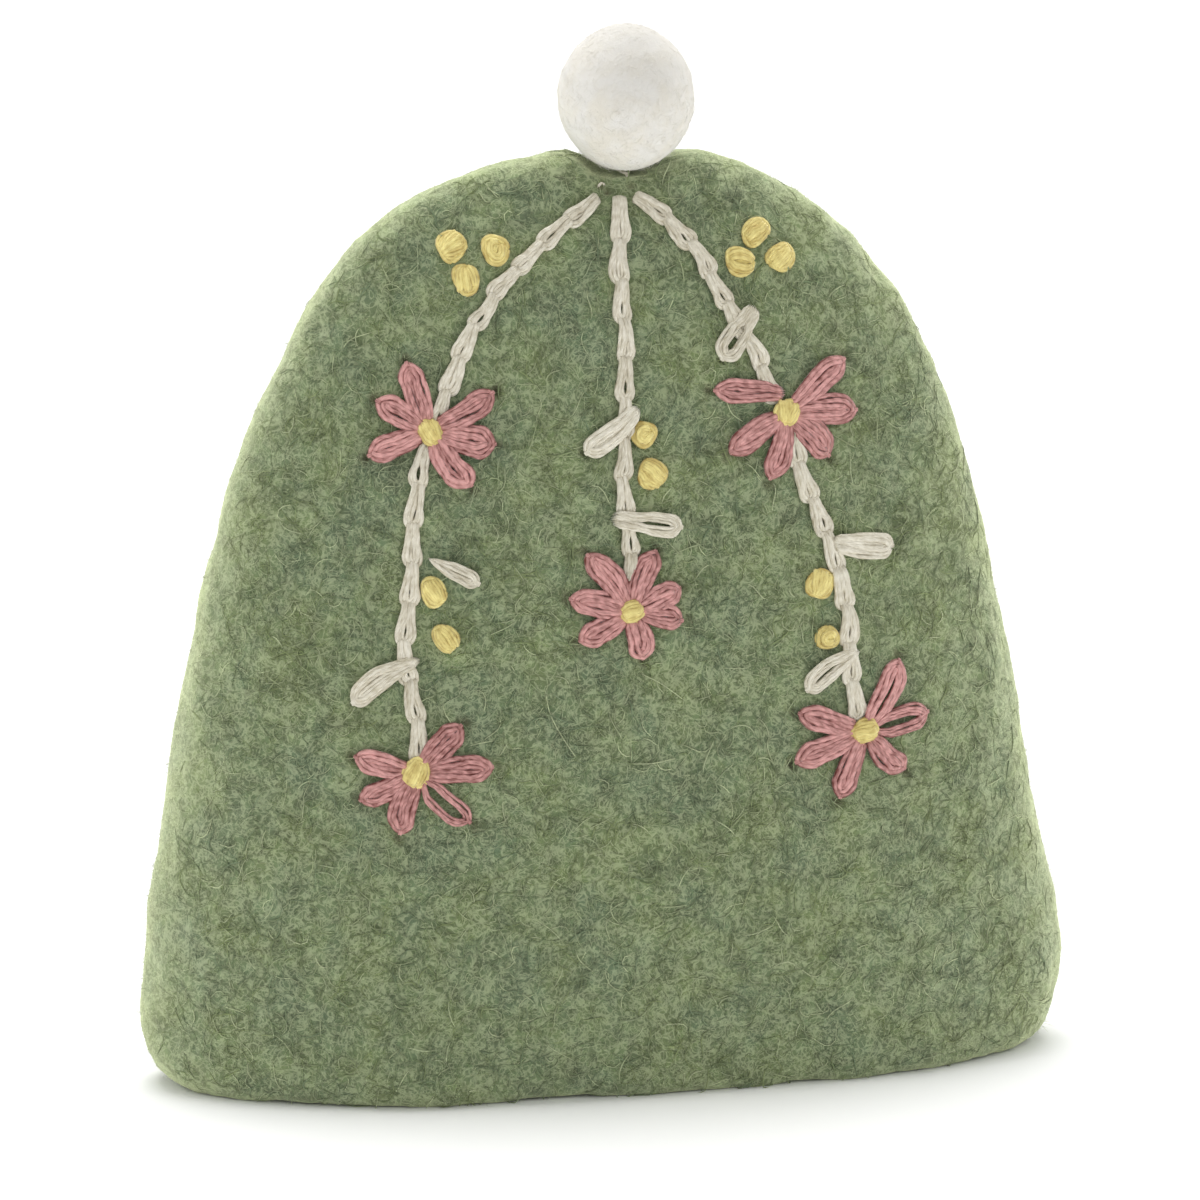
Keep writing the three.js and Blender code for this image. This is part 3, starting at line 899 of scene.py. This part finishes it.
class CosyFelt(bpy.types.PropertyGroup):
    """The wool of the cover and of its ball."""

    blue_green: colour_prop("Blue green", "Bluer wool in the marl", "455942")
    mid_green: colour_prop("Mid green", "Main wool of the marl", "4f5f44")
    yellow_green: colour_prop("Yellow green", "Yellower wool in the marl", "58683f")
    # Painted shade in the pits of the felt.
    pit_shade_green: colour_prop("Deep green", "In the pits of the felt", "3f4a33")
    # Painted shade in the dents where thread goes in.
    dent_shade: colour_prop("Dent shade", "Where thread goes in", "40362a")
    grey_fibre: colour_prop("Grey fibre", "Greyish wool fibres", "7e9474")
    yellow_fibre: colour_prop("Yellow fibre", "Yellowish wool fibres", "8e9e69")
    pale_fibre: colour_prop("Pale fibre", "Palest wool fibres", "ced8ae")
    web: share_prop("Web", "How far the drawn fibres stand out from the felt", 0.3)
    bloom: colour_prop("Bloom", "Light caught by the nap where it turns away", "d6dab4")
    bloom_spread: share_prop("Bloom spread", "How widely the nap glows", 0.7)
    ball_white: colour_prop("Ball white", "Undyed wool of the ball", "e6e4de")
    ball_warm: colour_prop("Ball warm white", "Warmer wool of the ball", "e3dfd4")
    # Painted shade on the ball's top, against the light from above.
    ball_top_shade: colour_prop("Ball grey", "Painted shade on the ball's top", "c9c6c0")
    unevenness: length_prop("Unevenness", "How far the felt swells and dips", 0.5 * MM)
    nap: length_prop("Nap", "Depth of the loose fibres on the outside", 0.1 * MM)
    fibre_width: length_prop("Fibre width", "Width of a loose fibre", 0.09 * MM)
    fibre_length: length_prop("Fibre length", "Usual length of a loose fibre", 3.0 * MM)
    fibres: bpy.props.IntProperty(
        name="Fibres", description="Loose fibres on a piece of fuzz", default=9300, min=100, max=9300
    )
    seed: bpy.props.IntProperty(name="Seed", description="Another scatter of the fibres", default=4)


class CosyYarn(bpy.types.PropertyGroup):
    """The yarn of the embroidery."""

    cream: colour_prop("Cream", "Yarn of the stems and leaves", "e9e4d4")
    pink: colour_prop("Pink", "Yarn of the petals", "dba39e")
    yellow: colour_prop("Yellow", "Yarn of the knots", "f0e296")
    stitch_length: length_prop("Stitch length", "Length of a chain stitch", 3.9 * MM)
    stem_width: length_prop("Stem width", "Width of a chain stitch", 2.15 * MM)
    petal_width: length_prop("Petal width", "Width of a petal", 2.8 * MM)


class CosyStage(bpy.types.PropertyGroup):
    """The floor, the light and the camera."""

    azimuth: angle_prop("Azimuth", "The camera's turn to the right", -12)
    elevation: angle_prop("Elevation", "The camera's rise", 12.4)
    distance: length_prop("Distance", "From the camera to the cosy", 0.8)
    view_width: length_prop("View width", "Width of the view at the cosy", 0.12766)
    daylight: bpy.props.FloatProperty(
        name="Daylight", description="Strength of the light all round", default=0.5, min=0
    )
    floor: colour_prop("Floor", "Colour of the table", "ffffff")


class COSY_OT_felt_cover(bpy.types.Operator):
    """Make the cover: a seamless pouch of felt, dented by its stitches"""

    bl_idname = "cosy.felt_cover"
    bl_label = "Felt cover"

    def execute(self, context):
        felt = context.scene.cosy_felt
        bpy.ops.object.select_all(action="DESELECT")
        cover = bpy.data.objects.new("cover", frame["nodes"]["felt_cover"].data.copy())
        cover.data.materials.clear()
        context.scene.collection.objects.link(cover)
        cover.select_set(True)
        context.view_layer.objects.active = cover
        bpy.ops.object.mode_set(mode="EDIT")
        bpy.ops.mesh.select_all(action="SELECT")
        bpy.ops.mesh.remove_doubles(threshold=0.001 * MM)
        bpy.ops.mesh.tris_convert_to_quads(face_threshold=math.radians(60), shape_threshold=math.radians(60))
        bpy.ops.object.mode_set(mode="OBJECT")
        rounding = cover.modifiers.new("rounding", "SUBSURF")
        rounding.levels = rounding.render_levels = 2
        bpy.ops.object.modifier_apply(modifier=rounding.name)
        # The front gets a finer mesh, for the dents under its stitches.
        bpy.ops.object.mode_set(mode="EDIT")
        bpy.ops.mesh.select_all(action="DESELECT")
        bpy.ops.object.mode_set(mode="OBJECT")
        for face in cover.data.polygons:
            face.select = face.normal.y < -0.25 and face.center.y < 0 and face.center.z > 25 * MM
        bpy.ops.object.mode_set(mode="EDIT")
        bpy.ops.mesh.subdivide(number_cuts=1)
        bpy.ops.object.mode_set(mode="OBJECT")
        for name, size, part in (("swells", 9, 0.8), ("lumps", 3.2, 0.45), ("tufts", 1.3, 0.2)):
            ruffle(cover, "felt_" + name, size, 1, felt.unevenness * 2 * part)
        self.press(cover, felt.nap / MM)
        bpy.ops.object.shade_smooth()
        cover.data.materials.append(wet_felt())
        place_piece(cover)
        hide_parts("felt_cover")
        return {"FINISHED"}

    def press(self, cover, nap_depth):
        """Swells the felt in places, presses it in under the stitches and keeps its hem on the table."""
        mesh = cover.data
        points, normals = vertex_rows(mesh, "co") / MM, vertex_rows(mesh, "normal")
        # The nap stands on the outside, so the dense felt there begins a little deeper.
        outside = (normals * (points - (0, 0, 40))).sum(axis=1) > 0
        sunk = np.interp(points[:, 2], (0, 5), (0, nap_depth)) * outside
        for x, z, reach, height in SWELLS:
            far = (points[:, 0] - x) ** 2 + (points[:, 2] - z) ** 2
            sunk -= height * np.exp(-far / reach**2) * outside
        points -= normals * sunk[:, None]
        front = np.flatnonzero((normals[:, 1] < -0.2) & (points[:, 1] < -1.5))
        flat = points[front][:, [0, 2]]
        depth, dark = np.zeros(len(front)), np.zeros(len(front))
        for x, z, reach, deep, shade in stitch_marks():
            near = np.flatnonzero(np.abs(flat - (x, z)).max(axis=1) < 2 * reach)
            fall = np.exp(-(((flat[near] - (x, z)) ** 2).sum(axis=1)) / (reach * 0.6) ** 2)
            depth[near] = np.maximum(depth[near], deep * fall)
            dark[near] = np.maximum(dark[near], shade * fall)
        points[front] -= normals[front] * depth[:, None]
        points[:, 2] = np.maximum(points[:, 2], 0)
        mesh.vertices.foreach_set("co", (points * MM).ravel())
        # The dents get painted shade, through an attribute that the felt's material reads.
        dent_shade_amount = np.zeros(len(points))
        dent_shade_amount[front] = dark
        mesh.attributes.new("dent_shade_amount", "FLOAT", "POINT").data.foreach_set("value", dent_shade_amount)
        mesh.update()


class COSY_OT_cover_fuzz(bpy.types.Operator):
    """Grow the loose wool fibres of the cover"""

    bl_idname = "cosy.cover_fuzz"
    bl_label = "Cover fuzz"

    def execute(self, context):
        felt = context.scene.cosy_felt
        cover = earlier_piece("cover", "fuzz")
        surface = BVHTree.FromObject(cover, context.evaluated_depsgraph_get())
        wool = loose_green_wool()
        for number, (name, where, kinds, amount) in enumerate(FUZZ):
            rng = np.random.default_rng(felt.seed + number)
            strands = Strands()

            def weight(points, normals):
                return outside_patches(points, normals) * where(points, normals)

            for part, points, short, long, rise, width, standing, palest in kinds:
                roots, normals = surface_samples(cover, round(felt.fibres * part * amount), weight, rng)
                if name != "behind":
                    clear = away_from_stitches(roots)
                    roots, normals = roots[clear], normals[clear]
                count, facing = len(roots), np.abs(normals[:, 1])
                # On the sides, where light grazes the felt, they lie lower and finer.
                low = np.ones(count) if name == "edges" else np.clip(1.6 * facing - 0.35, 0.3, 1)
                lengths = felt.fibre_length * rng.uniform(short, long, count)
                rises = MM * rise * rng.gamma(2, 0.5, count) * low**2
                widths = felt.fibre_width * width * rng.uniform(0.7, 1.25, count) * low
                # Painted highlight: fibres where the felt turns away from the front and back are drawn paler,
                # so the outline glows.
                tints = 1 - rng.uniform(0, 1 - palest, count) * np.clip(1.4 * facing - 0.3, 0, 1)
                grow_fibres(
                    strands, surface, roots, normals, lengths, rises, widths, points, standing, tints, rng
                )
            if name.startswith("front"):
                self.lay_strays(strands, name == "front_upper")
            strands.finish("cover_fuzz_" + name, wool, "green_felt")
        return {"FINISHED"}

    def lay_strays(self, strands, upper):
        """Lays the few pale fibres that catch the eye."""
        front = Front()
        for line in STRAYS:
            if (line[0][1] > FRONT_MIDDLE) == upper:
                line = smooth_line(line, 0.35)
                rise = 0.12 + 0.25 * np.sin(np.linspace(0, math.pi, len(line)))
                strands.lay(front, line, rise, 0.055, 1.0, sides=4)


class COSY_OT_felt_ball(bpy.types.Operator):
    """Make the ball on the crown"""

    bl_idname = "cosy.felt_ball"
    bl_label = "Felt ball"

    def execute(self, context):
        bpy.ops.object.select_all(action="DESELECT")
        low, high = BALL_BOX
        middle, half = (low + high) / 2, (high - low) / 2
        half = Vector((half[0] * 0.98, half[1] * 0.98, half[2] * 0.97))  # its fuzz makes up the rest
        middle = middle - Vector((0, 0, 0.15 * MM))
        bpy.ops.mesh.primitive_ico_sphere_add(subdivisions=6, radius=1, location=middle, scale=half)
        ball = context.active_object
        ball.name = ball.data.name = "ball"
        bpy.ops.object.transform_apply(location=True, rotation=True, scale=True)
        ruffle(ball, "ball_lumps", 6, 2, 0.4 * MM)
        ruffle(ball, "ball_grain", 1.5, 2, 0.06 * MM)
        bpy.ops.object.shade_smooth()
        ball.data.materials.append(white_felt())
        place_piece(ball)
        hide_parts("felt_ball")
        return {"FINISHED"}


class COSY_OT_ball_fuzz(bpy.types.Operator):
    """Grow the loose wool fibres of the ball"""

    bl_idname = "cosy.ball_fuzz"
    bl_label = "Ball fuzz"

    def execute(self, context):
        ball = earlier_piece("ball", "fuzz")
        surface = BVHTree.FromObject(ball, context.evaluated_depsgraph_get())
        rng = np.random.default_rng(context.scene.cosy_felt.seed + 20)
        count = 2600
        roots, normals = surface_samples(ball, count, lambda points, normals: 1.0 - 0.3 * normals[:, 2], rng)
        lengths = MM * rng.uniform(0.5, 1.8, count)
        rises = MM * 0.13 * rng.gamma(2, 0.5, count)
        widths = MM * rng.uniform(0.015, 0.03, count)
        strands, tints = Strands(), rng.random(count)
        grow_fibres(strands, surface, roots, normals, lengths, rises, widths, 5, 0.5, tints, rng)
        strands.finish("ball_fuzz", loose_white_wool(), "white_felt")
        return {"FINISHED"}


class COSY_OT_stems(bpy.types.Operator):
    """Sew the stems in chain stitch"""

    bl_idname = "cosy.stems"
    bl_label = "Stems"

    def execute(self, context):
        yarn = context.scene.cosy_yarn
        front, strands, rng = begin_sewing(11)
        for stem in STEMS:
            holes = chain_points(stem)
            for start, end in zip(holes, holes[1:]):
                past = end + unit(end - start) * 0.75  # each link ends inside the next
                width, gap = yarn.stem_width / MM * rng.uniform(0.93, 1.07), rng.uniform(0.12, 0.2)
                sew_loop(strands, front, start, past, "chain", width, 3, rng, gap, 0.58)
        cream = stranded_cotton("stranded_cotton_cream", yarn.cream, "ada388", 0.15, 0.25, 0.7, 0.8)
        strands.finish("stems", cream, "cream_yarn")
        return {"FINISHED"}


class COSY_OT_leaves(bpy.types.Operator):
    """Sew the leaves, each one loop held down at its tip"""

    bl_idname = "cosy.leaves"
    bl_label = "Leaves"

    def execute(self, context):
        cream = earlier_piece("stems", "leaves").data.materials[0]
        front, strands, rng = begin_sewing(12)
        for root, tip, width, gap, gap_from, broad in LEAVES:
            sew_loop(strands, front, root, tip, "leaf", width, 4, rng, gap, gap_from, broad)
            sew_tie(strands, front, tip, unit(np.subtract(tip, root)), 0.2, rng)
        strands.finish("leaves", cream, "cream_yarn")
        return {"FINISHED"}


class COSY_OT_flowers(bpy.types.Operator):
    """Sew the petals of the flowers, each one loop held down at its tip"""

    bl_idname = "cosy.flowers"
    bl_label = "Flowers"

    def execute(self, context):
        yarn = context.scene.cosy_yarn
        front, strands, rng = begin_sewing(13)
        for middle, petals in FLOWERS:
            for direction, length, *unusual in petals:
                wide, gap, aside = (*unusual, *(1.0, 0, 0.0)[len(unusual) :])
                root, tip = petal_line(middle, direction, length, aside)
                usual_gap = rng.uniform(0.0, 0.12)
                width = yarn.petal_width / MM * rng.uniform(0.95, 1.05) * wide
                gap_from = rng.uniform(0.55, 0.72)
                gap, gap_from = (gap, 0.15) if gap else (usual_gap, gap_from)
                spread = 4 if wide > 1.1 else 3
                sew_loop(strands, front, root, tip, "petal", width, spread, rng, gap, gap_from)
                sew_tie(strands, front, tip, unit(tip - root), 0.15, rng)
        pink = stranded_cotton("stranded_cotton_pink", yarn.pink, "703830", 0.2, 0.55, 1.1, 0.5)
        strands.finish("flowers", pink, "pink_yarn")
        return {"FINISHED"}


class COSY_OT_ball_thread(bpy.types.Operator):
    """Sew the white thread that holds the ball on"""

    bl_idname = "cosy.ball_thread"
    bl_label = "Ball thread"

    def execute(self, context):
        front, strands, rng = begin_sewing(15)
        for line in BALL_THREAD:
            line = smooth_line(line, 0.25)
            rise = 0.1 + 0.35 * np.sin(np.linspace(0, math.pi, len(line))) ** 0.7
            for _ in range(2):
                wander = 0.1 * np.sin(np.linspace(0, 5, len(line)) + rng.uniform(0, 6, 1))
                drawn = line + np.outer(wander, (1, 0))
                strands.lay(front, drawn, rise + rng.uniform(-0.05, 0.1), 0.1, rng.uniform(0, 1), sides=6)
        cream = context.scene.cosy_yarn.cream
        white = stranded_cotton("sewing_thread_undyed", cream, "c9c2ae", 0.2, 0.2, 0.4, 0.8)
        strands.finish("ball_thread", white, "cream_yarn")
        return {"FINISHED"}


class COSY_OT_knots(bpy.types.Operator):
    """Wind the French knots, loose ones and those in the flowers"""

    bl_idname = "cosy.knots"
    bl_label = "Knots"

    def execute(self, context):
        front, strands, rng = begin_sewing(14)
        for middle, width, length, kind, direction in KNOTS:
            in_flower = any(np.hypot(*np.subtract(middle, at)) < 0.5 for at, _ in FLOWERS)
            wind_knot(strands, front, middle, width, length, kind, direction, 0.5 if in_flower else 0.0, rng)
        light = context.scene.cosy_yarn.yellow
        yellow = stranded_cotton("stranded_cotton_yellow", light, "a5873e", 0.1, 0.25, 0.4, 0.75)
        strands.finish("knots", yellow, "yellow_yarn")
        return {"FINISHED"}


class COSY_OT_stage(bpy.types.Operator):
    """Set the floor, the light and the camera"""

    bl_idname = "cosy.stage"
    bl_label = "Stage"

    def execute(self, context):
        stage = context.scene.cosy_stage
        bpy.ops.object.select_all(action="DESELECT")
        bpy.ops.mesh.primitive_plane_add(size=4, location=(0, 0, 0))
        floor = context.active_object
        floor.name = "table_top"
        material, add = new_material("plain_pale_table")
        plain = add("BsdfPrincipled", {"Base Color": (*stage.floor, 1), "Roughness": 0.9})
        add("OutputMaterial", {"Surface": plain})
        floor.data.materials.append(material)
        world = bpy.data.worlds.new("daylight")
        context.scene.world = world
        world.use_nodes = True
        daylight = world.node_tree.nodes["Background"].inputs
        daylight["Color"].default_value = (1, 1, 1, 1)
        daylight["Strength"].default_value = stage.daylight
        for name, place, power in LIGHTS:
            bpy.ops.object.light_add(type="AREA", location=place)
            light = context.active_object
            light.name = name
            light.data.size = LIGHT_WIDTH
            light.data.energy = power
            light.rotation_euler = (LIT_PLACE - Vector(place)).to_track_quat("-Z", "Y").to_euler()
        a, e = stage.azimuth, stage.elevation
        way = Vector((math.sin(a) * math.cos(e), -math.cos(a) * math.cos(e), math.sin(e)))
        bpy.ops.object.camera_add(location=VIEWED_PLACE + way * stage.distance)
        camera = context.active_object
        camera.name = "camera"
        camera.rotation_euler = (-way).to_track_quat("-Z", "Y").to_euler()
        camera.data.sensor_width = SENSOR_WIDTH
        camera.data.lens = SENSOR_WIDTH * stage.distance / stage.view_width
        camera.data.clip_start, camera.data.clip_end = 0.01, 10
        context.scene.camera = camera
        context.scene.view_settings.view_transform = "Standard"
        return {"FINISHED"}


OPERATORS = (
    COSY_OT_felt_cover,
    COSY_OT_cover_fuzz,
    COSY_OT_felt_ball,
    COSY_OT_ball_fuzz,
    COSY_OT_stems,
    COSY_OT_leaves,
    COSY_OT_flowers,
    COSY_OT_knots,
    COSY_OT_ball_thread,
    COSY_OT_stage,
)


class COSY_PT_panel(bpy.types.Panel):
    """Lists the steps that make the cosy"""

    bl_idname = "COSY_PT_panel"
    bl_label = "Egg cosy"
    bl_space_type = "VIEW_3D"
    bl_region_type = "UI"
    bl_category = "Egg cosy"

    def draw(self, context):
        for operator in OPERATORS:
            self.layout.operator(operator.bl_idname)
        for group in (context.scene.cosy_felt, context.scene.cosy_yarn, context.scene.cosy_stage):
            for name in group.__annotations__:
                self.layout.prop(group, name)


CLASSES = (CosyFelt, CosyYarn, CosyStage, *OPERATORS, COSY_PT_panel)


def register():
    for cls in CLASSES:
        bpy.utils.register_class(cls)
    bpy.types.Scene.cosy_felt = bpy.props.PointerProperty(type=CosyFelt)
    bpy.types.Scene.cosy_yarn = bpy.props.PointerProperty(type=CosyYarn)
    bpy.types.Scene.cosy_stage = bpy.props.PointerProperty(type=CosyStage)


def unregister():
    for name in ("cosy_felt", "cosy_yarn", "cosy_stage"):
        delattr(bpy.types.Scene, name)
    for cls in reversed(CLASSES):
        bpy.utils.unregister_class(cls)


def main():
    register()
    for operator in OPERATORS:
        group, name = operator.bl_idname.split(".")
        getattr(getattr(bpy.ops, group), name)()
    pieces = [bpy.data.objects[n] for n in ("stems", "leaves", "flowers", "knots", "ball_thread")]
    pieces += [o for o in bpy.data.objects if o.name.startswith("cover_fuzz")]


if __name__ == "__main__":
    main()
